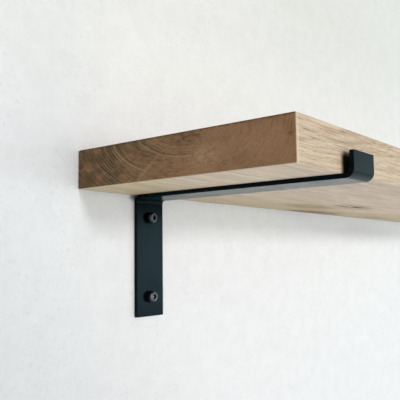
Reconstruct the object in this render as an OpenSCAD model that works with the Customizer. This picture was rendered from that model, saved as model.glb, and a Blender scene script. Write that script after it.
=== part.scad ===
// Bracket wall shelf. A solid plank lies in two brackets that are bent from flat steel bar, and
// each bracket hangs on the wall by two pan-head socket screws in expansion plugs.
// X runs along the wall, +Y points into the wall and +Z is up. The origin is on the wall's
// surface, at the centre of the four fixings.

/* [Board] */
// Length of the board, along the wall
board_length = 1000; // [600:10:2400]
// Depth of the board, from the wall to its front face
board_depth = 240; // [120:5:400]
// Thickness of the board
board_thickness = 38; // [18:1:60]
// Radius of the eased edges all round the board
board_edge_radius = 1.5; // [0.5:0.25:5]

/* [Brackets] */
// Width of the flat bar
bar_width = 40; // [25:1:80]
// Thickness of the flat bar
bar_thickness = 4; // [3:0.5:8]
// Inside radius of both bends
bend_inside_radius = 4; // [2:0.5:8]
// Radius of the bar's eased long edges and sawn ends
bar_edge_radius = 0.5; // [0.2:0.1:1]
// Radius of the corners of the leg and the lip, seen from the front
bar_corner_radius = 1; // [0.5:0.25:5]
// Distance from each end of the board to the nearer side of its bracket
bracket_inset = 76; // [10:2:180]
// Height of the lip above the underside of the board
lip_rise = 19; // [12:1:60]
// Play between the board's front face and the start of the lip's bend
front_play = 1; // [0.5:0.5:10]
// Distance from the end of the wall bend down to the upper screw
upper_screw_below_bend = 15.5; // [10:0.5:60]
// Distance between the two screws of a bracket
screw_spacing = 84; // [40:1:200]
// Distance from the lower screw down to the end of the leg
leg_end_below_screw = 20.5; // [12:0.5:60]
// Radial clearance of the leg's holes round the screws
hole_clearance = 0.3; // [0.1:0.1:0.5]

/* [Screws] */
// Outside diameter of the screw's thread
screw_diameter = 6; // [4:0.5:7]
// Diameter of the pan head
head_diameter = 12; // [9:0.5:14]
// Height of the pan head
head_height = 6.2; // [4.5:0.1:8]
// Radius of the rounding between the head's side and its flat top
head_round = 2.2; // [1:0.1:3]
// Width of the hex socket across its flats
socket_width = 5; // [2.5:0.5:6]
// Depth of the hex socket
socket_depth = 3; // [1:0.1:3.5]
// Length of the screw's cone point
point_length = 7; // [3:0.5:10]
// Diameter of the small flat at the tip of the point
point_tip = 1.2; // [0.6:0.1:2]

/* [Wall plugs] */
// Length of a plug in the wall
plug_length = 50; // [35:1:80]
// Thickness of a plug's wall round the screw
plug_wall = 1.9; // [1.2:0.1:3]
// Radial clearance between the screw's thread and the plug
thread_clearance = 0.1; // [0.05:0.05:0.2]
// Length of the plain neck behind the plug's mouth
plug_neck = 12; // [6:1:18]
// Length of one saw-tooth ring along the plug
ring_pitch = 4; // [3:0.5:6]
// Depth of the rings below the plug's outer surface
ring_depth = 0.7; // [0.3:0.1:0.9]
// Width of the slots that part the plug's legs
slot_width = 1.4; // [0.8:0.1:2]
// Length of the taper at the plug's far end
nose_length = 6; // [3:1:8]

/* [Hidden] */
$fn = 96;

// How far a cutting shape reaches past the face that it cuts
past = 1;

// Angle of the point of the drill that starts the hex socket
drill_angle = 120;

// Share of a saw-tooth ring's length in which it rises, before its steep face
ring_rise_share = 0.8;

bend_outside_radius = bend_inside_radius + bar_thickness;
upper_screw_drop = bend_outside_radius + upper_screw_below_bend;
leg_drop = upper_screw_drop + screw_spacing + leg_end_below_screw;

// Height of the board's underside, which lies on the arms
seat_z = upper_screw_drop + screw_spacing / 2;
upper_screw_z = screw_spacing / 2;
lower_screw_z = -screw_spacing / 2;
leg_end_z = seat_z - leg_drop;
lip_top_z = seat_z + lip_rise;

// Distance from the wall to the lip's front face
lip_front = board_depth + front_play + bend_outside_radius;

// Places of the brackets' middles along the wall
left_x = -board_length / 2 + bracket_inset + bar_width / 2;
right_x = -left_x;

plug_radius = screw_diameter / 2 + thread_clearance + plug_wall;
plug_bore_radius = screw_diameter / 2 + thread_clearance;

// The screw ends one diameter past the plug, so that it opens the plug's whole length
screw_length = bar_thickness + plug_length + screw_diameter;

// A rectangle about the origin with true round corners
module eased_rectangle(width, height, radius) {
    square([width - 2 * radius, height], center = true);
    square([width, height - 2 * radius], center = true);
    for (side_x = [-1, 1], side_y = [-1, 1])
        translate([side_x * (width / 2 - radius), side_y * (height / 2 - radius)])
            circle(r = radius);
}

// Lays a solid that was drawn along Z out along X, with its own X along Y and its own Y along Z
module along_x() {
    rotate([90, 0, 90])
        children();
}

// A plank with all its edges eased, its middle at the origin
module eased_plank(length, depth, thickness, radius) {
    intersection() {
        along_x()
            linear_extrude(length, center = true)
                eased_rectangle(depth, thickness, radius);
        rotate([90, 0, 0])
            linear_extrude(depth + 2 * past, center = true)
                eased_rectangle(length, thickness + 2 * past, radius);
        linear_extrude(thickness + 2 * past, center = true)
            eased_rectangle(length, depth, radius);
    }
}

// The flat bar's cross-section, with its thickness along X and its width along Y
module bar_section() {
    eased_rectangle(bar_thickness, bar_width, bar_edge_radius);
}

// A straight run of bar, from the origin up Z, with its thickness along Y
module bar_run(length) {
    linear_extrude(length)
        rotate([0, 0, 90])
            bar_section();
}

// A quarter bend of bar about the X axis, which starts at an angle from +Y towards +Z
module bar_bend(start_angle) {
    along_x()
        rotate([0, 0, start_angle])
            rotate_extrude(angle = 90)
                translate([bend_inside_radius + bar_thickness / 2, 0])
                    bar_section();
}

// What is left of a square corner outside its rounding, drawn along the bar's width. The corner
// is at the origin, and the material lies towards -Y and -Z.
module end_edge_cut() {
    along_x()
        linear_extrude(bar_width + 2 * past, center = true)
            difference() {
                translate([-bar_edge_radius, -bar_edge_radius])
                    square(bar_edge_radius + past);
                translate([-bar_edge_radius, -bar_edge_radius])
                    circle(r = bar_edge_radius);
            }
}

// Eases both edges of a sawn end. The end is at the origin and its material lies below it.
module end_cuts() {
    for (turn = [0, 180])
        rotate([0, 0, turn])
            translate([0, bar_thickness / 2, 0])
                end_edge_cut();
}

// One bracket: wall leg, bend, arm under the board, bend and lip in front of the board
module bent_bracket(middle_x) {
    leg_y = -bar_thickness / 2;
    lip_y = -lip_front + bar_thickness / 2;
    wall_bend_z = seat_z - bend_outside_radius;
    lip_bend_z = seat_z + bend_inside_radius;
    arm_length = lip_front - 2 * bend_outside_radius;
    translate([middle_x, 0, 0])
        difference() {
            intersection() {
                union() {
                    translate([0, leg_y, leg_end_z])
                        bar_run(wall_bend_z - leg_end_z);
                    translate([0, -bend_outside_radius, wall_bend_z])
                        bar_bend(0);
                    translate([0, -bend_outside_radius, seat_z - bar_thickness / 2])
                        rotate([90, 0, 0])
                            bar_run(arm_length);
                    translate([0, -lip_front + bend_outside_radius, lip_bend_z])
                        bar_bend(180);
                    translate([0, lip_y, lip_bend_z])
                        bar_run(lip_top_z - lip_bend_z);
                }
                front_outline();
            }
            for (hole_z = [upper_screw_z, lower_screw_z])
                translate([0, past, hole_z])
                    rotate([90, 0, 0])
                        cylinder(r = screw_diameter / 2 + hole_clearance, h = bar_thickness + 2 * past);
            translate([0, lip_y, lip_top_z])
                end_cuts();
            translate([0, leg_y, leg_end_z])
                rotate([180, 0, 0])
                    end_cuts();
        }
}

// The bracket's outline from the front, which rounds the corners of the leg and the lip
module front_outline() {
    outline_height = lip_top_z - leg_end_z;
    translate([0, past, (lip_top_z + leg_end_z) / 2])
        rotate([90, 0, 0])
            linear_extrude(lip_front + 2 * past)
                eased_rectangle(bar_width, outline_height, bar_corner_radius);
}

// Puts what was drawn along Z at a fixing: z = 0 is the wall's surface, and +Z there faces the room
module at_fixing(middle_x, height_z) {
    translate([middle_x, 0, height_z])
        rotate([90, 0, 0])
            children();
}

// One screw: pan head with a hex socket, thread body and cone point
module wall_screw(middle_x, height_z) {
    color([0.20, 0.20, 0.21])
        at_fixing(middle_x, height_z)
            translate([0, 0, bar_thickness])
                difference() {
                    union() {
                        pan_head();
                        translate([0, 0, point_length - screw_length])
                            cylinder(d = screw_diameter, h = screw_length - point_length);
                        translate([0, 0, -screw_length])
                            cylinder(d1 = point_tip, d2 = screw_diameter, h = point_length);
                    }
                    hex_socket();
                }
}

// The head, its seat at z = 0: a straight side that rounds over into a flat top
module pan_head() {
    head_radius = head_diameter / 2;
    rotate_extrude() {
        square([head_radius, head_height - head_round]);
        square([head_radius - head_round, head_height]);
        translate([head_radius - head_round, head_height - head_round])
            intersection() {
                circle(r = head_round);
                square(head_round);
            }
    }
}

// The socket that the key fits, with the cone that its drill leaves
module hex_socket() {
    drill_radius = socket_width / 2;
    drill_cone = drill_radius / tan(drill_angle / 2);
    translate([0, 0, head_height - socket_depth])
        cylinder(d = socket_width / cos(30), h = socket_depth + past, $fn = 6);
    translate([0, 0, head_height - socket_depth - drill_cone])
        cylinder(r1 = 0, r2 = drill_radius, h = drill_cone);
}

// One expansion plug: plain neck, saw-tooth rings that bite in the wall, slots and tapered nose
module wall_plug(middle_x, height_z) {
    color([0.62, 0.62, 0.60])
        at_fixing(middle_x, height_z)
            difference() {
                translate([0, 0, -plug_length])
                    rotate_extrude()
                        polygon(plug_outline());
                translate([0, 0, -plug_length - past])
                    cylinder(r = plug_bore_radius, h = plug_length + 2 * past);
                plug_slots();
            }
}

// Half of the plug's section, from the nose at height 0 up to the mouth at height plug_length
function plug_outline() =
    let (
        room = plug_length - plug_neck - nose_length,
        rings = max(1, floor(room / ring_pitch)),
        pitch = room / rings,
        root = plug_radius - ring_depth
    )
    concat(
        [[0, 0], [root - ring_depth, 0]],
        [for (ring = [0 : rings - 1]) each [
            [root, nose_length + ring * pitch],
            [plug_radius, nose_length + (ring + ring_rise_share) * pitch]
        ]],
        [[root, plug_length - plug_neck], [plug_radius, plug_length - plug_neck]],
        [[plug_radius, plug_length], [0, plug_length]]
    );

// Two crossed slots, from the nose up to the neck, that leave four legs
module plug_slots() {
    slot_length = plug_length - plug_neck - ring_pitch;
    for (turn = [45, 135])
        rotate([0, 0, turn])
            translate([-plug_radius - past, -slot_width / 2, -plug_length - past])
                cube([2 * plug_radius + 2 * past, slot_width, slot_length + past]);
}

module shelf_board() {
    color([0.74, 0.62, 0.47])
        translate([0, -board_depth / 2, seat_z + board_thickness / 2])
            eased_plank(board_length, board_depth, board_thickness, board_edge_radius);
}

module left_bracket() {
    color([0.12, 0.12, 0.13])
        bent_bracket(left_x);
}

module right_bracket() {
    color([0.12, 0.12, 0.13])
        bent_bracket(right_x);
}

module left_upper_screw() {
    wall_screw(left_x, upper_screw_z);
}

module left_lower_screw() {
    wall_screw(left_x, lower_screw_z);
}

module right_upper_screw() {
    wall_screw(right_x, upper_screw_z);
}

module right_lower_screw() {
    wall_screw(right_x, lower_screw_z);
}

module left_upper_plug() {
    wall_plug(left_x, upper_screw_z);
}

module left_lower_plug() {
    wall_plug(left_x, lower_screw_z);
}

module right_upper_plug() {
    wall_plug(right_x, upper_screw_z);
}

module right_lower_plug() {
    wall_plug(right_x, lower_screw_z);
}

shelf_board();
left_bracket();
right_bracket();
left_upper_screw();
left_lower_screw();
right_upper_screw();
right_lower_screw();
left_upper_plug();
left_lower_plug();
right_upper_plug();
right_lower_plug();
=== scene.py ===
"""The looks of a bracket wall shelf: an oak plank in two coated brackets, with their screws and plugs."""

import math

import bmesh
import bpy
from mathutils import Matrix, Vector


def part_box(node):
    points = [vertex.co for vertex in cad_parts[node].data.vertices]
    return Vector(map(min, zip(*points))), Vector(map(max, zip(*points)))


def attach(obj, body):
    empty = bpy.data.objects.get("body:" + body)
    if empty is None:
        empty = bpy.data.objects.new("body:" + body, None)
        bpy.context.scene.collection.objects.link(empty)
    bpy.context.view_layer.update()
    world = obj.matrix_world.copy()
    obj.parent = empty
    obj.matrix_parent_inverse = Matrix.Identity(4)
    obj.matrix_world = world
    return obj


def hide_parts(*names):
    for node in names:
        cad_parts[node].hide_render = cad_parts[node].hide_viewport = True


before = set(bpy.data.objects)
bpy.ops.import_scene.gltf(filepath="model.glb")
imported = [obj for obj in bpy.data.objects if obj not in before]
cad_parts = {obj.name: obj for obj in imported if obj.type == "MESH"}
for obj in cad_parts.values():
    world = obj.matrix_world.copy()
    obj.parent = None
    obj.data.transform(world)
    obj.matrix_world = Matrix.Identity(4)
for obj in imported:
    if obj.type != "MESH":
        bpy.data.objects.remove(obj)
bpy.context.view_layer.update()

MM = 0.001

BOARD = "shelf_board"
BRACKETS = ("left_bracket", "right_bracket")
SCREWS = ("left_upper_screw", "left_lower_screw", "right_upper_screw", "right_lower_screw")
PLUGS = ("left_upper_plug", "left_lower_plug", "right_upper_plug", "right_lower_plug")

BOARD_LOW, BOARD_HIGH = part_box(BOARD)


class Nodes:
    """The shader nodes of one material. Most methods add nodes and return the socket with their result."""

    def __init__(self, name):
        self.material = bpy.data.materials.new(name)
        self.material.use_nodes = True
        self.tree = self.material.node_tree
        self.tree.nodes.clear()
        self.output = self.tree.nodes.new("ShaderNodeOutputMaterial")

    def feed(self, socket, value):
        """Links a socket to another one, or sets its value. A colour is given as red, green and blue."""
        if isinstance(value, bpy.types.NodeSocket):
            self.tree.links.new(value, socket)
        elif socket.type == "RGBA":
            socket.default_value = (*value, 1.0)
        else:
            socket.default_value = value

    def add(self, kind, inputs=(), **settings):
        """Adds a node, sets its properties and feeds each (socket, value) pair."""
        node = self.tree.nodes.new(kind)
        for name, value in settings.items():
            setattr(node, name, value)
        for socket, value in inputs:
            self.feed(node.inputs[socket], value)
        return node

    def math(self, operation, first, second=0.0, third=0.0):
        inputs = [(0, first), (1, second), (2, third)]
        return self.add("ShaderNodeMath", inputs, operation=operation).outputs[0]

    def product(self, first, *others):
        for other in others:
            first = self.math("MULTIPLY", first, other)
        return first

    def change(self, field, amount):
        """1 where the field is 0, and 1 + amount where it is 1."""
        return self.math("MULTIPLY_ADD", field, amount, 1.0)

    def off(self, value, middle):
        """How far a value is from a middle."""
        return self.math("ABSOLUTE", self.math("SUBTRACT", value, middle))

    def vector(self, operation, first, second=(0.0, 0.0, 0.0)):
        return self.add("ShaderNodeVectorMath", [(0, first), (1, second)], operation=operation).outputs[0]

    def combine(self, x, y, z):
        return self.add("ShaderNodeCombineXYZ", [(0, x), (1, y), (2, z)]).outputs[0]

    def separate(self, vector):
        return self.add("ShaderNodeSeparateXYZ", [(0, vector)]).outputs[0:3]

    def scaled(self, colour, level):
        """A colour times one number."""
        return self.vector("MULTIPLY", colour, self.combine(level, level, level))

    def millimetres(self):
        """The point's place in the shelf's own frame, in millimetres."""
        place = self.add("ShaderNodeTexCoord").outputs["Object"]
        return self.vector("MULTIPLY", place, (1000.0, 1000.0, 1000.0))

    def noise(self, vector, grain, detail=2.0, roughness=0.5, shift=None):
        """Noise from 0 to 1 about 0.5. The grain is its size along each axis, or along all three."""
        if shift:
            vector = self.vector("ADD", vector, shift)
        if isinstance(grain, float):
            grain = (grain, grain, grain)
        stretched = self.vector("DIVIDE", vector, grain)
        inputs = [("Vector", stretched), ("Scale", 1.0), ("Detail", detail), ("Roughness", roughness)]
        return self.add("ShaderNodeTexNoise", inputs).outputs["Fac"]

    def remap(self, value, low, high, to_low=0.0, to_high=1.0):
        """Carries low..high over to to_low..to_high smoothly and holds it there outside."""
        inputs = [("Value", value), ("From Min", low), ("From Max", high)]
        inputs += [("To Min", to_low), ("To Max", to_high)]
        return self.add("ShaderNodeMapRange", inputs, interpolation_type="SMOOTHSTEP").outputs["Result"]

    def blob(self, vector, centre, reach):
        """1 at a centre, falling smoothly to 0 at that reach along each axis."""
        away = self.vector("DIVIDE", self.vector("SUBTRACT", vector, centre), reach)
        length = self.add("ShaderNodeVectorMath", [(0, away)], operation="LENGTH").outputs["Value"]
        return self.remap(length, 0.0, 1.0, 1.0, 0.0)

    def mix(self, factor, first, second):
        inputs = [(0, factor), (6, first), (7, second)]
        return self.add("ShaderNodeMix", inputs, data_type="RGBA").outputs[2]

    def bump(self, height, distance, strength=1.0):
        inputs = [("Height", height), ("Distance", distance), ("Strength", strength)]
        return self.add("ShaderNodeBump", inputs).outputs["Normal"]

    def surface(self, specular, **inputs):
        """A Principled surface. Names of inputs are the shader's, with _ for a space."""
        named = [(name.replace("_", " "), value) for name, value in inputs.items()]
        named.append(("Specular IOR Level", specular))
        return self.add("ShaderNodeBsdfPrincipled", named).outputs[0]

    def one_sided(self, shader):
        """The shader from the front, and nothing from behind."""
        behind = self.add("ShaderNodeNewGeometry").outputs["Backfacing"]
        clear = self.add("ShaderNodeBsdfTransparent").outputs[0]
        return self.add("ShaderNodeMixShader", [(0, behind), (1, shader), (2, clear)]).outputs[0]

    def finish(self, shader):
        self.tree.links.new(shader, self.output.inputs["Surface"])
        return self.material


# Oak. Lengths, places (x, y, z) and reaches along the three axes are in millimetres, in the shelf's own
# frame. Where two numbers are given as a span, something sets in at the one and is full at the other.
END_X = BOARD_HIGH[0] / MM
TOP_Z = BOARD_HIGH[2] / MM
UNDER_Z = BOARD_LOW[2] / MM
FRONT_Y = BOARD_LOW[1] / MM

# How deep a patch of the left end reaches along the board
PATCH_DEPTH = 400.0

BRACKET_MIDDLES = [(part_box(node)[0][0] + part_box(node)[1][0]) / 2 / MM for node in BRACKETS]
BRACKET_HALF = 20.0
LIP_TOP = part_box(BRACKETS[0])[1][2] / MM

# The heart of the tree runs just above the board, almost along it, and its rings are wider than tall
PITH_Y = -140.0
PITH_Z = 113.5
PITH_TILT_Y = 0.03
PITH_TILT_Z = 0.045
RING_SQUASH = 0.5
RING_SQUASH_FRONT = 0.78

# The squash goes over from the front's to the wall's between these places, counted from the pith
SQUASH_SPAN = (-50.0, -5.0)

# Turns an angle round the pith into a length
ARC_RADIUS = 80.0

# The rings' mean width. Some runs of rings are narrower and some wider: the runs' size, and by how much.
RING_WIDTH = 1.95
UNEVEN_RUN = 7.0
UNEVEN_BY = 3.0

# How the rings sway: the grain of each sway and its size. They sway less near the left end.
RING_SWAYS = (((260.0, 60.0, 60.0), 16.0), ((110.0, 20.0, 20.0), 5.0), ((60.0, 8.0, 6.0), 1.0))
SWAY_AT_END = 0.25
SWAY_FULL_AFTER = 200.0

# The knot pushes the rings about it aside
KNOT = (-88.0, -98.0, UNDER_Z)
KNOT_SWELL = 9.0
KNOT_SWELL_REACH = (130.0, 34.0, 30.0)

END_DARK = (0.158, 0.092, 0.040)
END_WARM = (0.385, 0.212, 0.108)
END_OLIVE = (0.110, 0.070, 0.033)
END_ROSY = (0.330, 0.165, 0.080)
END_DEEP = (0.060, 0.036, 0.016)
END_PALE = (0.480, 0.315, 0.180)

SIDE_PLAIN = (0.535, 0.415, 0.288)
SIDE_PALE = (0.675, 0.557, 0.416)
SIDE_PINK = (0.565, 0.392, 0.288)
SIDE_STRAW = (0.580, 0.472, 0.303)
SIDE_BROWN = (0.330, 0.220, 0.130)
SIDE_PORE = (0.210, 0.130, 0.075)
SIDE_STAIN = (0.235, 0.150, 0.095)
SIDE_KNOT = (0.120, 0.075, 0.042)
# The knot's dark heart, and also the painted shade beside each arm
KNOT_HEART_AND_ARM_SHADE = (0.020, 0.013, 0.010)
# Painted shade behind each lip: almost black, and brown towards its edge
LIP_SHADE = (0.004, 0.002, 0.001)
LIP_SHADE_BROWN = (0.060, 0.030, 0.012)
# The underside's grey is paler than the front's wood, partly painted light that makes up for the dimmer
# light from below
UNDER_GREY = (0.755, 0.612, 0.495)
UNDER_STRAW = (0.605, 0.478, 0.330)

# Spans of y over which the end grain goes from warm to dark, partly as painted shade by the wall, and its
# olive clouds, faint rings and strokes get strong
END_DARKENING = (-165.0, 0.0)
OLIVE_CLOUDS = (-130.0, -50.0)
FAINT_RINGS = (-205.0, -150.0)
STROKES = (-185.0, -130.0)

# Where single rings stand out on the end grain: near the wall, and less in the middle
NEAR_WALL_RINGS = ((-END_X, -47.0, 84.0), (PATCH_DEPTH, 27.0, 30.0))
MIDDLE_RINGS = ((-END_X, -116.0, 88.0), (PATCH_DEPTH, 52.0, 32.0))
STRONGEST_RING = 0.85

# Rings that show as a pale line: distance, half width, the span of y in which they show, and how strongly
END_LINES = (
    (46.8, 1.3, -86.0, -52.0, 0.50),
    (32.0, 1.0, -140.0, -86.0, 0.45),
    (24.0, 0.9, -140.0, -100.0, 0.30),
)
LINE_FADE = 12.0

# Each has a dark line on the pith's side of it: how far off, half width and how strongly
DARK_LINE_OFF = 1.7
DARK_LINE_HALF = 1.5
DARK_LINE_FORCE = 0.7

# The one ray that shows from afar: its place round the pith and its half width, and its two ends in y
END_RAY = (-ARC_RADIUS * math.radians(37.5), 4.0)
RAY_BEGINS = (-108.0, -102.0)
RAY_ENDS = (-84.0, -76.0)

# Painted shade along the end grain's upper arris, where little light falls, with a ragged lower edge
END_ARRIS_SHADE = (TOP_Z - 0.9, TOP_Z + 1.4)
ARRIS_RAGGED = 3.4

# Patches of the end grain: y and z, their reaches, colour, and how strongly
END_PATCHES = (
    (-156.0, 80.0, 28.0, 16.0, END_PALE, 0.95),
    (-136.0, 98.0, 30.0, 10.0, END_DEEP, 0.7),
    (-205.0, 84.0, 26.0, 14.0, END_PALE, 0.35),
    (-92.0, 85.0, 14.0, 8.0, END_DEEP, 0.45),
    (-176.0, 73.0, 5.0, 3.0, END_DEEP, 0.8),
    (-234.0, 88.0, 5.0, 2.5, END_DEEP, 0.8),
)

# The long faces: how far their grain sways, how far up from the underside it gets livelier, and the places
# where the ends are worn pale and carry a painted highlight. The underside goes over from grey to straw
# towards the wall, along a ragged line, and has a painted shade along the arris that meets the wall.
SIDE_SWAY = 7.0
LIVELIER = (UNDER_Z - 4.0, UNDER_Z + 22.0)
WORN_AND_HIGHLIT_ENDS = (END_X - 5.5, END_X - 2.0)
GREY_TO_STRAW = (-95.0, 15.0)
STRAW_RAGGED = 90.0
WALL_ARRIS_SHADE = (-5.0, -0.8)

# Brown wood on the underside: x and y, reaches, the span of the smoke that it follows, and how strongly
UNDER_BROWN = (
    ((KNOT[0], KNOT[1]), (85.0, 30.0), (0.36, 0.56), 0.95),
    ((-55.0, -10.0), (115.0, 46.0), (0.28, 0.52), 1.0),
    ((-150.0, -60.0), (95.0, 34.0), (0.26, 0.52), 0.9),
)

# Dark stains on it near the wall: x, y, reach along the board, and how strongly
UNDER_STAINS = (
    (-85.0, -4.0, 62.0, 0.85),
    (-20.0, -16.0, 55.0, 0.75),
    (150.0, -26.0, 80.0, 0.5),
)
STAIN_REACH = 20.0

# A straw-coloured patch near the wall, a straw halo beside the knot and a dark crack: centre and reach
STRAW_PATCH = ((-190.0, -38.0, UNDER_Z), (120.0, 44.0, 14.0))
HALO = ((KNOT[0] + 24.0, KNOT[1] + 9.0, UNDER_Z), (26.0, 8.0, 8.0))
DARK_CRACK = ((-122.0, -94.0, UNDER_Z), (30.0, 5.0, 8.0))
KNOT_RIM_REACH = (26.0, 8.0, 6.0)
KNOT_HEART_REACH = (14.0, 5.0, 6.0)
UNDER_DEPTH = 14.0

# The underside to the left of the left arm is paler, by these factors at its front and by the wall
PALER_BEYOND = (-440.0, -420.0)
PALER_DEPTH = (-190.0, -80.0)
PALER_FRONT = (1.090, 1.115, 1.095)
PALER_BACK = (1.03, 1.05, 1.0)

# Spans of the painted shade behind a lip, out from its middle, down from its top and into the wood, and of
# the painted shade beside an arm, towards its side
LIP_SHADE_ACROSS = (BRACKET_HALF + 8.0, BRACKET_HALF - 1.5)
LIP_SHADE_UP = (LIP_TOP + 0.5, LIP_TOP - 6.0)
LIP_SHADE_IN = (FRONT_Y + 1.5, FRONT_Y)
ARM_SHADE = (3.0, 0.8)

# How deep pores and streaks go
GRAIN_RELIEF = 0.12 * MM


def wood_grain(n, place):
    """The tree behind the wood: distance from the pith across the rings, and place round the pith."""
    x, y, z = n.separate(place)
    along = n.math("ADD", x, END_X)
    off_y = n.math("SUBTRACT", y, n.math("MULTIPLY_ADD", along, PITH_TILT_Y, PITH_Y))
    off_z = n.math("SUBTRACT", z, n.math("MULTIPLY_ADD", along, PITH_TILT_Z, PITH_Z))
    squash = n.remap(off_y, *SQUASH_SPAN, RING_SQUASH_FRONT, RING_SQUASH)
    squashed = n.product(off_y, squash)
    square = n.math("ADD", n.product(squashed, squashed), n.product(off_z, off_z))
    distance = n.math("SQRT", square)
    swaying = n.remap(along, 0.0, SWAY_FULL_AFTER, SWAY_AT_END, 1.0)
    for grain, sway in RING_SWAYS:
        wave = n.math("SUBTRACT", n.noise(place, grain), 0.5)
        distance = n.math("ADD", distance, n.product(wave, swaying, sway))
    swell = n.blob(place, KNOT, KNOT_SWELL_REACH)
    distance = n.math("MULTIPLY_ADD", swell, KNOT_SWELL, distance)
    arc = n.product(n.math("ARCTAN2", off_z, off_y), ARC_RADIUS)
    return distance, arc


def growth_rings(n, distance):
    """Uneven growth rings: a wave from 0 to 1 across each ring, and how strongly that ring shows."""
    uneven = n.noise(n.combine(distance, 0.0, 0.0), (UNEVEN_RUN, 1.0, 1.0), detail=1.0)
    ring = n.math("DIVIDE", n.math("MULTIPLY_ADD", uneven, UNEVEN_BY, distance), RING_WIDTH)
    wave = n.math("MULTIPLY_ADD", n.math("SINE", n.product(ring, math.tau)), 0.5, 0.5)
    choice = n.add("ShaderNodeTexWhiteNoise", [("W", n.math("FLOOR", ring))], noise_dimensions="1D")
    strength = n.remap(choice.outputs["Value"], 0.1, 0.9, 0.2, 1.0)
    return wave, strength


def line_at(n, value, at, half_width):
    """1 where the value is there, falling to 0 on both sides."""
    return n.remap(n.off(value, at), 0.0, half_width, 1.0, 0.0)


def end_ground(n, place, y):
    """Oiled brown, darker towards the wall in part as painted shade, with rosy clouds, and olive ones most
    of all near the wall.
    """
    colour = n.mix(n.remap(y, *END_DARKENING, 1.0, 0.0), END_DARK, END_WARM)
    rosy = n.noise(place, (60.0, 17.0, 11.0), detail=3.0, roughness=0.6, shift=(0.0, 300.0, 0.0))
    colour = n.mix(n.remap(rosy, 0.47, 0.64, 0.0, 0.6), colour, END_ROSY)
    olive = n.noise(place, (60.0, 24.0, 12.0), detail=4.0, roughness=0.65)
    wall_side = n.remap(y, *OLIVE_CLOUDS, 0.12, 1.0)
    return n.mix(n.product(n.remap(olive, 0.44, 0.62), wall_side, 0.9), colour, END_OLIVE)


def end_rings(n, colour, place, y, distance, wave, strength):
    """Rings that stand out in places, and a few pale lines along single rings."""
    near_wall = n.product(n.blob(place, *NEAR_WALL_RINGS), 1.1)
    patch = n.remap(n.noise(place, (60.0, 18.0, 14.0), detail=1.0), 0.40, 0.60)
    middle = n.product(n.blob(place, *MIDDLE_RINGS), n.math("MULTIPLY_ADD", patch, 0.5, 0.2))
    elsewhere = n.product(patch, n.remap(y, *FAINT_RINGS, 0.06, 0.22))
    shown = n.math("MAXIMUM", n.math("MAXIMUM", near_wall, middle), elsewhere)
    shown = n.math("MINIMUM", shown, STRONGEST_RING)
    trough = n.math("POWER", wave, 1.6)
    crest = n.math("POWER", n.math("SUBTRACT", 1.0, wave), 2.5)
    colour = n.mix(n.product(trough, strength, shown), colour, END_DEEP)
    colour = n.mix(n.product(crest, strength, shown, 0.55), colour, END_PALE)
    for at, half_width, low_y, high_y, force in END_LINES:
        begins = n.remap(y, low_y - LINE_FADE, low_y, 0.0, 1.0)
        span = n.product(begins, n.remap(y, high_y, high_y + LINE_FADE, 1.0, 0.0))
        pale = line_at(n, distance, at, half_width)
        colour = n.mix(n.product(pale, span, force), colour, END_PALE)
        dark = line_at(n, distance, at - DARK_LINE_OFF, DARK_LINE_HALF)
        colour = n.mix(n.product(dark, span, force, DARK_LINE_FORCE), colour, END_DEEP)
    return colour


def end_rays(n, colour, x, y, distance, arc):
    """Fine rays that run out from the pith, and one broad one."""
    rays = n.noise(n.combine(distance, arc, x), (11.0, 1.8, 40.0), detail=2.0, roughness=0.6)
    colour = n.mix(n.remap(rays, 0.55, 0.72, 0.0, 0.26), colour, END_PALE)
    along_ray = n.product(n.remap(y, *RAY_BEGINS), n.remap(y, *RAY_ENDS, 1.0, 0.0))
    return n.mix(n.product(line_at(n, arc, *END_RAY), along_ray, 0.4), colour, END_PALE)


def end_grain(n, place, distance, arc, wave, strength):
    """Oiled end grain with short strokes along the rings, broken rings, rays, patches and specks."""
    x, y, z = n.separate(place)
    colour = end_ground(n, place, y)

    strokes = n.noise(n.combine(distance, arc, x), (0.85, 11.0, 60.0), detail=3.0, roughness=0.6)
    calm = n.remap(y, *STROKES, 0.5, 1.0)
    colour = n.mix(n.product(n.remap(strokes, 0.52, 0.70), calm, 0.62), colour, END_DEEP)
    colour = n.mix(n.product(n.remap(strokes, 0.48, 0.32), calm, 0.42), colour, END_PALE)

    colour = end_rings(n, colour, place, y, distance, wave, strength)
    colour = end_rays(n, colour, x, y, distance, arc)

    figure = n.noise(place, (60.0, 5.0, 3.0), detail=3.0, roughness=0.6, shift=(0.0, 70.0, 40.0))
    figure = n.remap(figure, 0.38, 0.62, 0.15, 1.0)
    for centre_y, centre_z, reach_y, reach_z, tone, force in END_PATCHES:
        patch = n.blob(place, (-END_X, centre_y, centre_z), (PATCH_DEPTH, reach_y, reach_z))
        colour = n.mix(n.product(patch, figure, force), colour, tone)

    specks = n.noise(place, (2.0, 0.8, 0.8), detail=2.0)
    colour = n.mix(n.remap(specks, 0.55, 0.72, 0.0, 0.4), colour, END_DEEP)
    # Painted shade along the upper arris, with a ragged lower edge
    ragged = n.product(n.noise(place, (20.0, 5.0, 20.0), detail=3.0), ARRIS_RAGGED)
    arris = n.remap(n.math("ADD", z, ragged), *END_ARRIS_SHADE, 0.0, 0.8)
    return n.mix(arris, colour, END_DEEP)


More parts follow.
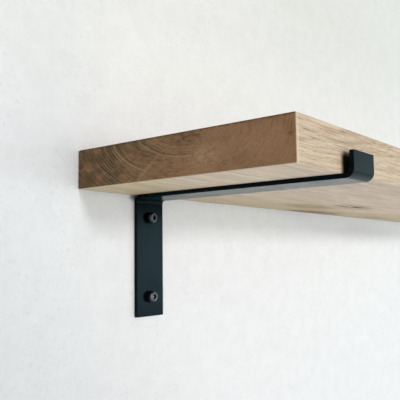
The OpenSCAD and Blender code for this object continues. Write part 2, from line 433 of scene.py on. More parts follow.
def side_ground(n, place, swayed, y, below):
    """Pale beige with straw and pink clouds. The underside is greyer at the front and straw by the wall."""
    tone = n.noise(swayed, (160.0, 8.0, 5.0), detail=3.0, roughness=0.6)
    colour = n.mix(n.remap(tone, 0.34, 0.66), SIDE_PLAIN, SIDE_PALE)
    straw = n.noise(place, (130.0, 12.0, 8.0), detail=2.0, shift=(90.0, 0.0, 190.0))
    colour = n.mix(n.remap(straw, 0.5, 0.64, 0.0, 0.6), colour, SIDE_STRAW)
    blush = n.noise(place, (110.0, 12.0, 6.0), detail=2.0, shift=(50.0, 0.0, 90.0))
    colour = n.mix(n.remap(blush, 0.48, 0.64, 0.0, 0.55), colour, SIDE_PINK)
    cast = n.noise(swayed, (150.0, 26.0, 10.0), detail=3.0, roughness=0.6)
    towards_wall = n.remap(n.math("MULTIPLY_ADD", cast, STRAW_RAGGED, y), *GREY_TO_STRAW)
    return n.mix(n.product(below, 0.8), colour, n.mix(towards_wall, UNDER_GREY, UNDER_STRAW))


def streaks_and_pores(n, colour, place, swayed, wave, strength, lively):
    """Rings cut along, fine wavy streaks, drawn-out pores and dashes, and the relief that they give."""
    colour = n.mix(n.product(n.remap(wave, 0.35, 1.0), strength, lively, 0.30), colour, SIDE_BROWN)
    streaks = n.noise(swayed, (42.0, 1.0, 1.0), detail=3.0, roughness=0.6)
    colour = n.mix(n.product(n.remap(streaks, 0.50, 0.70), lively, 0.75), colour, SIDE_BROWN)
    colour = n.mix(n.product(n.remap(streaks, 0.48, 0.32), lively, 0.60), colour, SIDE_PALE)
    pores = n.noise(swayed, (8.0, 0.40, 0.40), detail=2.0, roughness=0.6)
    pores = n.product(n.remap(pores, 0.56, 0.68), n.remap(wave, 0.2, 0.8, 0.35, 1.0), lively)
    colour = n.mix(n.product(pores, 0.7), colour, SIDE_PORE)
    dashes = n.noise(swayed, (17.0, 0.8, 0.8), detail=1.0)
    gathered = n.remap(n.noise(place, (160.0, 30.0, 16.0), detail=2.0), 0.42, 0.6, 0.25, 1.0)
    colour = n.mix(n.product(n.remap(dashes, 0.60, 0.72), gathered, lively, 0.85), colour, SIDE_PORE)
    height = n.math("MULTIPLY_ADD", pores, -1.0, n.product(streaks, 0.5))
    return colour, height


def underside_figure(n, colour, place, swayed, x, y, below):
    """What only the underside has: light and dark bands, brown wood, stains, straw patches and the knot."""
    bands = n.noise(swayed, (90.0, 7.0, 5.0), detail=4.0, roughness=0.65)
    bands = n.remap(bands, 0.3, 0.7, -0.13, 0.13)
    colour = n.scaled(colour, n.math("MULTIPLY_ADD", bands, below, 1.0))
    paler = n.product(n.remap(x, *PALER_BEYOND, 1.0, 0.0), below)
    lift = n.mix(n.remap(y, *PALER_DEPTH), PALER_FRONT, PALER_BACK)
    colour = n.mix(paler, colour, n.vector("MULTIPLY", colour, lift))

    smoke = n.noise(swayed, (42.0, 5.5, 5.0), detail=5.0, roughness=0.65)
    colour = n.mix(n.product(n.blob(place, *STRAW_PATCH), 0.75), colour, SIDE_STRAW)
    brown = 0.0
    for centre, reach, span, force in UNDER_BROWN:
        patch = n.blob(place, (*centre, UNDER_Z), (*reach, UNDER_DEPTH))
        brown = n.math("MAXIMUM", brown, n.product(patch, n.remap(smoke, *span), force))
    colour = n.mix(brown, colour, SIDE_BROWN)
    for centre_x, centre_y, reach, force in UNDER_STAINS:
        stain = n.blob(place, (centre_x, centre_y, UNDER_Z), (reach, STAIN_REACH, UNDER_DEPTH))
        colour = n.mix(n.product(stain, n.remap(smoke, 0.32, 0.52), force), colour, SIDE_STAIN)

    colour = n.mix(n.product(n.blob(place, *DARK_CRACK), 0.9), colour, SIDE_KNOT)
    colour = n.mix(n.product(n.blob(place, *HALO), 0.8), colour, SIDE_STRAW)
    colour = n.mix(n.blob(place, KNOT, KNOT_RIM_REACH), colour, SIDE_KNOT)
    colour = n.mix(n.blob(place, KNOT, KNOT_HEART_REACH), colour, KNOT_HEART_AND_ARM_SHADE)
    # Painted shade along the arris that meets the wall
    return n.mix(n.product(n.remap(y, *WALL_ARRIS_SHADE), below, 0.5), colour, SIDE_BROWN)


def bracket_shades(n, colour, x, y, z, below):
    """Painted shade behind each lip, brown first and then almost black, and in the corners beside each arm.
    """
    for middle in BRACKET_MIDDLES:
        # Painted shade behind the lip: brown first, then almost black towards its middle
        across = n.remap(n.off(x, middle), *LIP_SHADE_ACROSS)
        behind = n.product(across, n.remap(z, *LIP_SHADE_UP), n.remap(y, *LIP_SHADE_IN))
        colour = n.mix(behind, colour, LIP_SHADE_BROWN)
        colour = n.mix(n.product(behind, behind), colour, LIP_SHADE)
        # Painted shade in the corner beside each arm
        from_arm = n.off(n.off(x, middle), BRACKET_HALF)
        beside = n.product(n.remap(from_arm, *ARM_SHADE), below, 0.9)
        colour = n.mix(beside, colour, KNOT_HEART_AND_ARM_SHADE)
    return colour


def long_grain(n, place, wave, strength, normal_z):
    """The colour and relief of the faces along the grain. The underside is calmer than the front."""
    x, y, z = n.separate(place)
    sway = n.math("SUBTRACT", n.noise(place, (110.0, 30.0, 16.0), detail=1.0), 0.5)
    sway = n.product(sway, SIDE_SWAY)
    swayed = n.vector("ADD", place, n.combine(0.0, sway, sway))
    below = n.remap(normal_z, -0.9, -0.5, 1.0, 0.0)
    lively = n.product(n.change(below, -0.4), n.remap(z, *LIVELIER, 0.55, 1.0))

    colour = side_ground(n, place, swayed, y, below)
    colour, height = streaks_and_pores(n, colour, place, swayed, wave, strength, lively)
    colour = underside_figure(n, colour, place, swayed, x, y, below)
    colour = bracket_shades(n, colour, x, y, z, below)
    # The ends are paler: worn wood, and a painted highlight along the eased edge
    worn = n.remap(n.math("ABSOLUTE", x), *WORN_AND_HIGHLIT_ENDS, 0.0, 0.7)
    return n.mix(worn, colour, SIDE_PALE), height


def oak_material():
    """Flat-sawn oak as a solid texture, so that rings run on from one face to the next."""
    n = Nodes("oak")
    place = n.millimetres()
    normal = n.add("ShaderNodeTexCoord").outputs["Normal"]
    normal_x, _, normal_z = n.separate(normal)
    distance, arc = wood_grain(n, place)
    wave, strength = growth_rings(n, distance)
    side, height = long_grain(n, place, wave, strength, normal_z)
    end = end_grain(n, place, distance, arc, wave, strength)
    is_end = n.remap(n.math("ABSOLUTE", normal_x), 0.55, 0.75)
    matt = n.noise(place, (40.0, 6.0, 6.0), detail=2.0)
    shader = n.surface(
        specular=0.15,
        Base_Color=n.mix(is_end, side, end),
        Roughness=n.remap(matt, 0.3, 0.7, 0.6, 0.74),
        Normal=n.bump(height, GRAIN_RELIEF, 0.6),
    )
    return n.finish(shader)


# Coats. A coat has clouds, lighter and rougher than the rest, and wears in spots. Grains are in mm.
CLOUD_GRAIN = 26.0
CLOUD_LIFT = 1.3
RUB_GRAIN = 3.5
CLOUD_ROUGHNESS = (-0.03, 0.04)
BEND_ROUGHER = 0.14


def coated_material(name, colour, worn, roughness, specular, skin_mm, bump_mm, shades=(), **gloss):
    """A coat with a fine uneven skin, rubbed a little paler where the mesh says that it wears, and darker
    in each painted shade: its centre, its reach and how much it takes away."""
    n = Nodes(name)
    place = n.millimetres()
    skin = n.noise(place, skin_mm)
    cloud = n.noise(place, CLOUD_GRAIN, detail=4.0)
    lighter = tuple(channel * CLOUD_LIFT for channel in colour)
    base = n.mix(n.remap(cloud, 0.3, 0.7), colour, lighter)
    for centre, reach, force in shades:
        base = n.scaled(base, n.change(n.blob(place, centre, reach), -force))
    rubbed = n.noise(place, RUB_GRAIN, detail=3.0)
    bend = n.add("ShaderNodeAttribute", attribute_name="bend").outputs["Fac"]
    wear = n.add("ShaderNodeAttribute", attribute_name="wear").outputs["Fac"]
    wear = n.product(wear, n.remap(rubbed, 0.35, 0.65, 0.25, 0.8))
    smoother, rougher = (roughness + change for change in CLOUD_ROUGHNESS)
    matt = n.remap(cloud, 0.3, 0.7, smoother, rougher)
    shader = n.surface(
        specular=specular,
        Base_Color=n.mix(wear, base, worn),
        Roughness=n.math("MULTIPLY_ADD", bend, BEND_ROUGHER, matt),
        Normal=n.bump(skin, bump_mm * MM, 0.5),
        **gloss,
    )
    return n.finish(shader)


def new_piece(name, build, node, material):
    """Makes an object by a mesh-building function, rides it on the shelf and lets it replace a CAD node."""
    mesh = bpy.data.meshes.new(name)
    work = bmesh.new()
    work.verts.layers.float.new("wear")
    work.verts.layers.float.new("bend")
    build(work, node)
    bmesh.ops.recalc_face_normals(work, faces=work.faces)
    work.to_mesh(mesh)
    work.free()
    mesh.shade_smooth()
    mesh.materials.append(material)
    piece = bpy.data.objects.new(name, mesh)
    bpy.context.scene.collection.objects.link(piece)
    piece.modifiers.new("broad_faces_first", "WEIGHTED_NORMAL")
    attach(piece, "root")
    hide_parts(node)


def bridge(work, first, second, left_out=lambda corners: False):
    """Faces between two closed rings of as many points, apart from those that are left out."""
    count = len(first)
    for i in range(count):
        corners = (first[i], first[(i + 1) % count], second[(i + 1) % count], second[i])
        if not left_out(corners):
            work.faces.new(corners)


# The plank's mesh
EDGE_RADIUS = 1.5 * MM
EDGE_STEPS = 4
CELL = 9.0 * MM


def edge_lines(low, high):
    """Grid lines across one side of the plank: even cells, and the steps of the eased edge at each end."""
    turns = [math.radians(45 * i / EDGE_STEPS) for i in range(EDGE_STEPS, -1, -1)]
    steps = [EDGE_RADIUS * (1 - math.tan(turn)) for turn in turns]
    inner_low, inner_high = low + EDGE_RADIUS, high - EDGE_RADIUS
    cells = max(2, round((inner_high - inner_low) / CELL))
    inside = [inner_low + (inner_high - inner_low) * i / cells for i in range(1, cells)]
    return [low + s for s in steps] + inside + [high - s for s in reversed(steps)]


def eased(point, low, high):
    """Where a point of the square block's skin goes on the plank with eased edges."""
    core = Vector(min(max(point[i], low[i] + EDGE_RADIUS), high[i] - EDGE_RADIUS) for i in range(3))
    outwards = point - core
    return core + outwards.normalized() * EDGE_RADIUS


def build_plank(work, node):
    low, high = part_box(node)
    lines = [edge_lines(low[i], high[i]) for i in range(3)]
    found = {}

    def vertex(point):
        key = tuple(round(c, 6) for c in point)
        if key not in found:
            found[key] = work.verts.new(eased(Vector(point), low, high))
        return found[key]

    for axis in range(3):
        across, along = [i for i in range(3) if i != axis]
        for level in (low[axis], high[axis]):
            for a0, a1 in zip(lines[across], lines[across][1:]):
                for b0, b1 in zip(lines[along], lines[along][1:]):
                    corners = []
                    for a, b in ((a0, b0), (a1, b0), (a1, b1), (a0, b1)):
                        point = [0.0, 0.0, 0.0]
                        point[axis], point[across], point[along] = level, a, b
                        corners.append(vertex(point))
                    work.faces.new(corners)


# The brackets' mesh. A bracket is one flat bar, so its mesh is the bar's section carried along the bends.
BAR_THICKNESS = 4.0 * MM
BEND_INSIDE = 4.0 * MM
BEND_MIDDLE = BEND_INSIDE + BAR_THICKNESS / 2
BEND_OUTSIDE = BEND_INSIDE + BAR_THICKNESS
BAR_EASE = 0.3 * MM
BAR_CORNER = 1.0 * MM
HOLE_RADIUS = 3.3 * MM
HOLE_PATCH = 8.0 * MM
PATCH_STEP = 2.0 * MM
BEND_STEPS = 14
EASE_STEPS = 3
RUN_STEP = 8.0 * MM
SAME_PLACE = 0.01 * MM

# Rows close to a sawn end, by their distance from it, so that its corners come out round. The eased edges
# keep at least THINNEST_EASE of their radius there.
END_ROWS = [distance * MM for distance in (0.0, 0.02, 0.08, 0.17, 0.3, 0.5, 0.75, 1.0)]
THINNEST_EASE = 0.2
EDGE_WEAR = 1.0
SIDE_WEAR = 0.7


def shrink(radius, distance):
    """How far a rounding of that radius has drawn in a side, at a distance from the end."""
    if distance >= radius:
        return 0.0
    return radius - math.sqrt(radius**2 - (radius - distance) ** 2)


def even(start, end, step):
    """Evenly spaced levels after start, up to and with end."""
    count = max(1, round(abs(end - start) / step))
    return [start + (end - start) * i / count for i in range(1, count + 1)]


def screw_levels(bracket):
    """Heights of a bracket's two screws, the lower one first."""
    side = bracket.split("_")[0]
    levels = []
    for level in ("lower", "upper"):
        low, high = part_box(f"{side}_{level}_screw")
        levels.append((low[2] + high[2]) / 2)
    return levels


class Bar:
    """One bent bar, built row by row. Face A is the front of leg and lip, and the arm's underside."""

    def __init__(self, work, node):
        self.work = work
        self.wear = work.verts.layers.float["wear"]
        self.bend = work.verts.layers.float["bend"]
        low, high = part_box(node)
        self.middle = (low[0] + high[0]) / 2
        self.half_width = (high[0] - low[0]) / 2
        self.foot, self.top, self.lip_front = low[2], high[2], low[1]
        self.seat = BOARD_LOW[2]
        self.holes = screw_levels(node)
        self.rows = []

    def stations(self):
        """Places across the flat of the bar, which the grid about the holes needs."""
        patch = even(-HOLE_PATCH, HOLE_PATCH, PATCH_STEP)
        side = self.half_width - BAR_EASE
        return [-side, -(side + HOLE_PATCH) / 2, -HOLE_PATCH] + patch + [(side + HOLE_PATCH) / 2, side]

    def row(self, y, z, facing, end_distance=1.0, bent=0.0):
        """Adds the section at (y, z). Face A looks at the room where facing is 0, and down at 90."""
        thin = shrink(BAR_EASE, end_distance)
        width = self.half_width - shrink(BAR_CORNER, end_distance)
        depth = BAR_THICKNESS / 2 - thin
        ease = max(BAR_EASE - thin, BAR_EASE * THINNEST_EASE)
        flat = [max(-(width - ease), min(width - ease, s)) for s in self.stations()]
        outline = [(s, depth, 0.0) for s in flat]
        outline += self.corner(width - ease, depth - ease, ease, 90)
        outline += [(width, -(depth - ease), SIDE_WEAR)]
        outline += self.corner(width - ease, -(depth - ease), ease, 0)
        outline += [(-s, -depth, 0.0) for s in flat]
        outline += self.corner(-(width - ease), -(depth - ease), ease, 270)
        outline += [(-width, depth - ease, SIDE_WEAR)]
        outline += self.corner(-(width - ease), depth - ease, ease, 180)
        angle = math.radians(facing)
        towards_a = Vector((0.0, -math.cos(angle), -math.sin(angle)))
        verts = []
        for across, out, worn in outline:
            vert = self.work.verts.new(Vector((self.middle + across, y, z)) + towards_a * out)
            vert[self.wear] = worn
            vert[self.bend] = bent
            verts.append(vert)
        self.rows.append(verts)

    def corner(self, across, out, ease, start):
        """The points of one eased edge, turning clockwise from the angle start, without its two ends."""
        points = []
        for i in range(1, EASE_STEPS):
            angle = math.radians(start - 90 * i / EASE_STEPS)
            points.append((across + ease * math.cos(angle), out + ease * math.sin(angle), EDGE_WEAR))
        if start in (90, 270):
            sign = 1 if start == 90 else -1
            points.append((across + sign * ease, out, SIDE_WEAR))
        return points

    def leg(self):
        """From the foot up to the bend, with a finer grid at the holes."""
        y = -BAR_THICKNESS / 2
        for distance in END_ROWS:
            self.row(y, self.foot + distance, 0, distance)
        level = self.foot + END_ROWS[-1]
        for hole in self.holes:
            low, high = hole - HOLE_PATCH, hole + HOLE_PATCH
            for z in even(level, low, RUN_STEP) + even(low, high, PATCH_STEP):
                self.row(y, z, 0)
            level = high
        for z in even(level, self.seat - BEND_OUTSIDE, RUN_STEP):
            self.row(y, z, 0)

    def arm(self):
        """The bend at the wall, the run under the board, and the bend at the lip."""
        for facing in even(0, 90, 90 / BEND_STEPS):
            angle = math.radians(facing)
            y = -BEND_OUTSIDE + BEND_MIDDLE * math.cos(angle)
            z = self.seat - BEND_OUTSIDE + BEND_MIDDLE * math.sin(angle)
            self.row(y, z, facing, bent=math.sin(2 * angle))
        for y in even(-BEND_OUTSIDE, self.lip_front + BEND_OUTSIDE, RUN_STEP):
            self.row(y, self.seat - BAR_THICKNESS / 2, 90)
        for facing in even(90, 0, 90 / BEND_STEPS):
            angle = math.radians(facing)
            y = self.lip_front + BEND_OUTSIDE - BEND_MIDDLE * math.cos(angle)
            z = self.seat + BEND_INSIDE - BEND_MIDDLE * math.sin(angle)
            self.row(y, z, facing, bent=math.sin(2 * angle))

    def lip(self):
        y = self.lip_front + BAR_THICKNESS / 2
        for z in even(self.seat + BEND_INSIDE, self.top - END_ROWS[-1], RUN_STEP):
            self.row(y, z, 0)
        for distance in reversed(END_ROWS[:-1]):
            self.row(y, self.top - distance, 0, distance)

    def skin(self):
        """Faces between the rows, except where a hole's patch goes."""
        for first, second in zip(self.rows, self.rows[1:]):
            bridge(self.work, first, second, self.in_patch)

    def in_patch(self, corners):
        centre = sum((vert.co for vert in corners), Vector()) / 4
        if centre[1] < -BAR_THICKNESS - SAME_PLACE or abs(centre[0] - self.middle) > HOLE_PATCH:
            return False
        return any(abs(centre[2] - hole) < HOLE_PATCH for hole in self.holes)

    def hole(self, level):
        """A drilled hole: on each face a square patch about the hole's edge, and the bore between them."""
        rims = []
        for y in (-BAR_THICKNESS, 0.0):
            ring = self.patch_edge(level, y)
            for radius in ((HOLE_PATCH + HOLE_RADIUS) / 2, HOLE_RADIUS):
                inner = []
                for vert in ring:
                    out = Vector((vert.co[0] - self.middle, 0.0, vert.co[2] - level)).normalized()
                    inner.append(self.work.verts.new(Vector((self.middle, y, level)) + out * radius))
                bridge(self.work, ring, inner)
                ring = inner
            rims.append(ring)
        bridge(self.work, *rims)

    def patch_edge(self, level, y):
        """The points on the edge of the square about a hole, in order round it."""
        found = []
        for row in self.rows:
            for vert in row:
                across, up = vert.co[0] - self.middle, vert.co[2] - level
                on_edge = abs(max(abs(across), abs(up)) - HOLE_PATCH) < SAME_PLACE
                if on_edge and abs(vert.co[1] - y) < SAME_PLACE:
                    found.append(vert)
        return sorted(found, key=lambda v: math.atan2(v.co[2] - level, v.co[0] - self.middle))

    def cap(self, row):
        """Closes a sawn end: quads between the two flats, and one face in each rounded side."""
        flats = len(self.stations())
        back = len(row) // 2
        for i in range(flats - 1):
            j = back + flats - 1 - i
            self.work.faces.new((row[i], row[i + 1], row[j - 1], row[j]))
        self.work.faces.new(row[flats - 1 : back + 1])
        self.work.faces.new(row[back + flats - 1 :] + [row[0]])


def build_bracket(work, node):
    bar = Bar(work, node)
    bar.leg()
    bar.arm()
    bar.lip()
    bar.skin()
    for level in bar.holes:
        bar.hole(level)
    bar.cap(bar.rows[0])
    bar.cap(bar.rows[-1])


# The screws' mesh
SCREW_SIDES = 48
HEAD_HEIGHT = 6.2 * MM
HEAD_ROUND = 2.2 * MM
SEAT_EASE = 0.2 * MM
ROUND_STEPS = 9
HEAD_WEAR = 0.3

# The socket is a hexagon above a drilled cone
SOCKET_HALF = 2.5 * MM
SOCKET_DEPTH = 3.0 * MM
SOCKET_EASE = 0.12 * MM
SOCKET_WEAR = 0.4
RIM_WEAR = 1.0
DRILL_SHARE = 0.98
DRILL_HALF_ANGLE = math.radians(60)
DRILL_TIP = 0.05 * MM

# The thread falls off from its crest to its root within THREAD_FLANK of the pitch on each side
THREAD_RADIUS = 3.0 * MM
THREAD_ROOT = 2.15 * MM
THREAD_PITCH = 2.6 * MM
THREAD_FLANK = 0.3
THREAD_ROWS = 9
POINT_LENGTH = 7.0 * MM
POINT_TIP = 0.6 * MM


def hexagon(half):
    """The radius of a hexagon with that half width, by the angle."""
    return lambda turn: half / math.cos((turn % (math.pi / 3)) - math.pi / 6)


def thread(y, seat, tip):
    """The radius of the thread at y, by the angle: it rises to the crest where the helix passes."""
    run_in = min(1.0, (y - seat) / BAR_THICKNESS)
    taper = min(1.0, (tip - y) / POINT_LENGTH)

    def radius(turn):
        place = ((y - seat) / THREAD_PITCH - turn / math.tau) % 1.0
        crest = max(0.0, 1.0 - abs(place - 0.5) / THREAD_FLANK) * run_in
        full = THREAD_ROOT + (THREAD_RADIUS - THREAD_ROOT) * crest
        return POINT_TIP + (full - POINT_TIP) * taper

    return radius


def build_screw(work, node):
    """Pan head with a hex socket, and a coarse wood thread that runs out into a point."""
    wear = work.verts.layers.float["wear"]
    low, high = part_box(node)
    axis_x, axis_z = (low[0] + high[0]) / 2, (low[2] + high[2]) / 2
    head_radius = (high[0] - low[0]) / 2
    front, seat, tip = low[1], low[1] + HEAD_HEIGHT, high[1]
    turns = [math.tau * i / SCREW_SIDES for i in range(SCREW_SIDES)]

    def ring(y, radius, worn=0.0):
        verts = []
        for turn in turns:
            reach = radius(turn) if callable(radius) else radius
            vert = work.verts.new((axis_x + reach * math.cos(turn), y, axis_z + reach * math.sin(turn)))
            vert[wear] = worn
            verts.append(vert)
        return verts

    # From the socket's bottom out over the head to its seat
    floor = front + SOCKET_DEPTH
    rings = [
        ring(floor + SOCKET_HALF / math.tan(DRILL_HALF_ANGLE), DRILL_TIP),
        ring(floor, SOCKET_HALF * DRILL_SHARE),
        ring(floor, hexagon(SOCKET_HALF)),
        ring(front + SOCKET_EASE, hexagon(SOCKET_HALF), SOCKET_WEAR),
        ring(front, hexagon(SOCKET_HALF + SOCKET_EASE), RIM_WEAR),
    ]
    for i in range(ROUND_STEPS + 1):
        angle = math.pi / 2 * i / ROUND_STEPS
        radius = head_radius - HEAD_ROUND * (1 - math.sin(angle))
        rings.append(ring(front + HEAD_ROUND * (1 - math.cos(angle)), radius, HEAD_WEAR))
    rings.append(ring(seat - SEAT_EASE, head_radius))
    rings.append(ring(seat, head_radius - SEAT_EASE))

    rows = round((tip - seat) / THREAD_PITCH * THREAD_ROWS)
    for row in range(rows + 1):
        y = seat + (tip - seat) * row / rows
        rings.append(ring(y, thread(y, seat, tip)))
    for first, second in zip(rings, rings[1:]):
        bridge(work, first, second)
    work.faces.new(rings[0])
    work.faces.new(rings[-1])


SHARP_ANGLE = math.radians(30)


def dress(node, material):
    """Gives a CAD node its material, with its sharp edges kept sharp."""
    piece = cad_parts[node]
    piece.data.materials.clear()
    piece.data.materials.append(material)
    split = piece.modifiers.new("sharp_edges", "EDGE_SPLIT")
    split.split_angle = SHARP_ANGLE


# The stage
STAGE_REACH = 5.0
FLOOR_Z = -0.75
WALL_Y = 0.2 * MM
WALL_TOP = 2.6
OPENING_MARGIN = EDGE_RADIUS + 0.5 * MM
PLASTER_RELIEF = 2.0 * MM

FLOOR_COLOUR = (0.84, 0.84, 0.83)
WALL_COLOUR = (0.856, 0.850, 0.858)

# How dark the darkest clouds are
FLOOR_CLOUDS = 0.97
WALL_CLOUDS = 0.965

# Spans of the wall's painted light and shade, in millimetres. The painted shade at the lower left goes by x
# + z.
LOWER_LEFT = (-760.0, -410.0)
BAND_FOOT = (100.0, 125.0)
BAND_TOP = (310.0, 190.0)
BAND_LEFT = (-540.0, -430.0)
HIGH_ACROSS = (-350.0, -50.0)
HIGH_UP = (250.0, 420.0)
LESS_RED = (-540.0, -420.0)
LESS_BLUE = (100.0, 230.0)

# Round places of painted light and shade on the wall: centre and reach in millimetres, and the change.
# They lie about the left leg, under the board, and in the corner to the left of each bracket.
WALL_LIGHT_AND_SHADE_PLACES = [
    ((BRACKET_MIDDLES[0], 0.0, 38.0), (75.0, 50.0, 24.0), 0.11),
    ((150.0, 0.0, 44.0), (280.0, 50.0, 26.0), -0.13),
]
WALL_LIGHT_AND_SHADE_PLACES += [
    ((middle - BRACKET_HALF - 0.5, 0.0, 63.0), (10.0, 9.0, 6.5), -0.75) for middle in BRACKET_MIDDLES
]


def wall_paint(n, place):
    """Paint with faint clouds and small dimples, here and there, and the room's light and shade painted on
    it.
    """
    x, _, z = n.separate(place)
    cloud = n.noise(place, 22.0, detail=5.0, roughness=0.65)
    darker = tuple(channel * WALL_CLOUDS for channel in WALL_COLOUR)
    paint = n.mix(n.remap(cloud, 0.35, 0.65), WALL_COLOUR, darker)
    dimples = n.product(n.remap(n.noise(place, 4.5), 0.56, 0.68), n.remap(n.noise(place, 70.0), 0.44, 0.60))

    # Painted light: it falls off to the lower left and high up, and gathers just above the board
    lower_left = n.remap(n.math("ADD", x, z), *LOWER_LEFT, 0.84, 1.0)
    band = n.product(n.remap(z, *BAND_FOOT), n.remap(z, *BAND_TOP))
    above = n.product(n.remap(x, *BAND_LEFT), band)
    high = n.product(n.remap(x, *HIGH_ACROSS), n.remap(z, *HIGH_UP))
    level = n.product(n.change(dimples, -0.06), lower_left, n.change(above, 0.09), n.change(high, -0.08))
    for centre, reach, change in WALL_LIGHT_AND_SHADE_PLACES:
        level = n.product(level, n.change(n.blob(place, centre, reach), change))

    # The painted light is less red on the left and less blue high up
    red = n.product(level, n.remap(x, *LESS_RED, 0.984, 1.0))
    blue = n.product(level, n.change(high, -0.03), n.remap(z, *LESS_BLUE, 1.0, 0.962))
    return n.vector("MULTIPLY", paint, n.combine(red, level, blue))


def wall_material():
    """Painted plaster from the front. From behind it isn't there, so that the shelf's back can be seen."""
    n = Nodes("plaster")
    place = n.millimetres()
    rough = n.noise(place, 6.0, detail=3.0, roughness=0.6)
    relief = n.bump(rough, PLASTER_RELIEF, 0.5)
    shader = n.surface(specular=0.2, Base_Color=wall_paint(n, place), Roughness=0.9, Normal=relief)
    return n.finish(n.one_sided(shader))


def floor_material():
    """Pale and plain from above, and not there from below."""
    n = Nodes("floor")
    cloud = n.noise(n.millimetres(), 400.0, detail=3.0)
    darker = tuple(channel * FLOOR_CLOUDS for channel in FLOOR_COLOUR)
    shader = n.surface(specular=0.2, Base_Color=n.mix(cloud, FLOOR_COLOUR, darker), Roughness=0.85)
    return n.finish(n.one_sided(shader))


def stage_sheet(name, corners, faces, material):
    mesh = bpy.data.meshes.new(name)
    mesh.from_pydata(corners, [], faces)
    mesh.materials.append(material)
    sheet = bpy.data.objects.new(name, mesh)
    bpy.context.scene.collection.objects.link(sheet)


def covered_places():
    """The rectangles (x0, x1, z0, z1) of the wall that the board's and the legs' backs cover."""
    boxes = [(BOARD_LOW, BOARD_HIGH, BOARD_HIGH[2] - OPENING_MARGIN)]
    boxes += [(*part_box(node), BOARD_LOW[2] - BEND_OUTSIDE) for node in BRACKETS]
    places = []
    for low, high, top in boxes:
        places.append((low[0] + OPENING_MARGIN, high[0] - OPENING_MARGIN, low[2] + OPENING_MARGIN, top))
    return places


def build_wall():
    """The wall, with openings behind the board and the legs, so that their backs are lit from behind."""
    places = covered_places()
    columns = sorted({-STAGE_REACH, STAGE_REACH} | {x for p in places for x in p[0:2]})
    levels = sorted({FLOOR_Z, WALL_TOP} | {z for p in places for z in p[2:4]})
    corners = [(x, WALL_Y, z) for z in levels for x in columns]
    faces = []
    for row in range(len(levels) - 1):
        for column in range(len(columns) - 1):
            x = (columns[column] + columns[column + 1]) / 2
            z = (levels[row] + levels[row + 1]) / 2
            if any(x0 < x < x1 and z0 < z < z1 for x0, x1, z0, z1 in places):
                continue
            first = row * len(columns) + column
            faces.append((first, first + 1, first + 1 + len(columns), first + len(columns)))
    stage_sheet("backdrop_wall", corners, faces, wall_material())


def build_floor():
    ways = ((-1, -1), (1, -1), (1, 1), (-1, 1))
    corners = [(x * STAGE_REACH, y * STAGE_REACH, FLOOR_Z) for x, y in ways]
    stage_sheet("floor", corners, [(0, 1, 2, 3)], floor_material())


# The surroundings are dimmest straight to the left, and full from the middle to the right. The span is of
# the direction's part along X.
WORLD_COLOUR = (0.97, 0.985, 1.0)
WORLD_LIGHT = 0.52
WORLD_LEFT_LIGHT = 0.24
WORLD_LEFT_SPAN = (-0.9, 0.0)


def build_world():
    """Even pale surroundings, dimmer on the left side."""
    world = bpy.data.worlds.new("studio")
    world.use_nodes = True
    tree = world.node_tree
    background = tree.nodes["Background"]
    background.inputs["Color"].default_value = (*WORLD_COLOUR, 1.0)
    towards = tree.nodes.new("ShaderNodeTexCoord")
    split = tree.nodes.new("ShaderNodeSeparateXYZ")
    level = tree.nodes.new("ShaderNodeMapRange")
    level.interpolation_type = "SMOOTHSTEP"
    level.inputs["From Min"].default_value, level.inputs["From Max"].default_value = WORLD_LEFT_SPAN
    level.inputs["To Min"].default_value = WORLD_LEFT_LIGHT
    level.inputs["To Max"].default_value = WORLD_LIGHT
    tree.links.new(towards.outputs["Generated"], split.inputs[0])
    tree.links.new(split.outputs["X"], level.inputs["Value"])
    tree.links.new(level.outputs["Result"], background.inputs["Strength"])
    bpy.context.scene.world = world


# Name, place, target, size, power and colour
LAMPS = (
    ("key_window", (-0.71, -4.0, 0.66), (-0.45, 0.0, 0.05), (0.42, 0.42), 50.2, (1.0, 0.995, 0.98)),
    ("side_window", (1.99, -2.27, -0.05), (-0.404, 0.0, 0.0), (0.8, 0.7), 8.2, (0.70, 0.91, 1.0)),
    ("far_window", (2.6, -1.6, 0.0), (-0.404, -0.249, 0.0), (1.2, 1.4), 3.2, (0.55, 0.95, 1.0)),
    ("low_window", (2.41, -1.874, -0.1), (-0.404, -0.249, -0.1), (0.74, 1.2), 1.1, (0.55, 0.95, 1.0)),
    ("floor_glow", (1.85, -0.75, -0.74), (1.85, -0.75, 1.0), (1.7, 1.4), 7.8, (0.66, 0.96, 1.0)),
    ("level_window", (-0.1, -2.6, 0.0), (0.0, 0.0, 0.0), (2.2, 0.4), 12.0, (0.98, 0.99, 1.0)),
    ("back_fill", (0.8, 2.4, 0.9), (0.0, 0.0, 0.05), (1.6, 1.6), 16.0, (1.0, 1.0, 1.0)),
)


def build_lamp(name, place, target, size, power, colour):
    data = bpy.data.lights.new(name, "AREA")
    data.shape = "RECTANGLE"
    data.size, data.size_y = size
    data.energy = power
    data.color = colour
    lamp = bpy.data.objects.new(name, data)
    lamp.location = place
    lamp.rotation_euler = (Vector(target) - Vector(place)).to_track_quat("-Z", "Y").to_euler()
    lamp.visible_camera = False
    bpy.context.scene.collection.objects.link(lamp)


# The photograph's camera, solved from the shelf's edges
CAMERA_PLACE = Vector((-0.8789, -0.4549, -0.0016))
CAMERA_YAW = math.radians(51.217)
CAMERA_PITCH = math.radians(5.453)
CAMERA_ROLL = math.radians(-0.684)
CAMERA_LENS = 54.58
SENSOR_WIDTH = 36.0
CLIP_START = 0.01


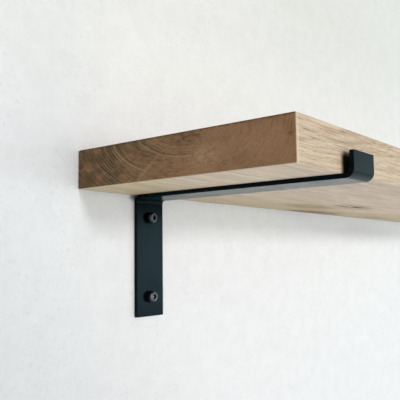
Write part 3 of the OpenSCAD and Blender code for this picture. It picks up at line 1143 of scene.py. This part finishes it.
def build_camera():
    data = bpy.data.cameras.new("camera")
    data.sensor_width = SENSOR_WIDTH
    data.lens = CAMERA_LENS
    data.clip_start = CLIP_START
    level_forward = Vector((math.sin(CAMERA_YAW), math.cos(CAMERA_YAW), 0.0))
    forward = level_forward * math.cos(CAMERA_PITCH) + Vector((0.0, 0.0, math.sin(CAMERA_PITCH)))
    level_right = Vector((math.cos(CAMERA_YAW), -math.sin(CAMERA_YAW), 0.0))
    level_up = level_right.cross(forward)
    right = level_right * math.cos(CAMERA_ROLL) + level_up * math.sin(CAMERA_ROLL)
    up = -level_right * math.sin(CAMERA_ROLL) + level_up * math.cos(CAMERA_ROLL)
    turn = Matrix((right, up, -forward)).transposed()
    camera = bpy.data.objects.new("camera", data)
    camera.matrix_world = Matrix.Translation(CAMERA_PLACE) @ turn.to_4x4()
    bpy.context.scene.collection.objects.link(camera)
    bpy.context.scene.camera = camera


build_camera()
build_world()
build_wall()
build_floor()
for lamp in LAMPS:
    build_lamp(*lamp)

# Painted shade: the corner below each arm and the upper screw in it are darkened where they get less light:
# centre and reach in millimetres, and how much is taken away
CORNER_SHADES = [((middle, -6.0, 60.0), (60.0, 28.0, 36.0), 0.9) for middle in BRACKET_MIDDLES]
SCREW_SHADES = [((middle, -8.0, 42.0), (40.0, 40.0, 40.0), 0.42) for middle in BRACKET_MIDDLES]

oak = oak_material()
powder_coat = coated_material(
    "powder_coat",
    colour=(0.0010, 0.0030, 0.0045),
    worn=(0.006, 0.011, 0.014),
    roughness=0.2,
    specular=0.06,
    skin_mm=0.5,
    bump_mm=0.005,
    shades=CORNER_SHADES,
    Specular_Tint=(0.5, 0.88, 1.0),
    Sheen_Weight=0.05,
    Sheen_Roughness=0.2,
    Sheen_Tint=(0.2, 0.9, 1.0),
)
black_oxide = coated_material(
    "black_oxide",
    colour=(0.062, 0.067, 0.073),
    worn=(0.16, 0.17, 0.18),
    roughness=0.36,
    specular=0.5,
    skin_mm=0.3,
    bump_mm=0.006,
    shades=SCREW_SHADES,
    Metallic=1.0,
)
nylon = coated_material(
    "nylon",
    colour=(0.45, 0.45, 0.43),
    worn=(0.5, 0.5, 0.48),
    roughness=0.5,
    specular=0.4,
    skin_mm=0.8,
    bump_mm=0.02,
)

new_piece("oak_plank", build_plank, BOARD, oak)
for node in BRACKETS:
    new_piece(f"{node}_bar", build_bracket, node, powder_coat)
for node in SCREWS:
    new_piece(f"{node}_threaded", build_screw, node, black_oxide)
for node in PLUGS:
    dress(node, nylon)

bpy.context.scene.view_settings.view_transform = "Standard"
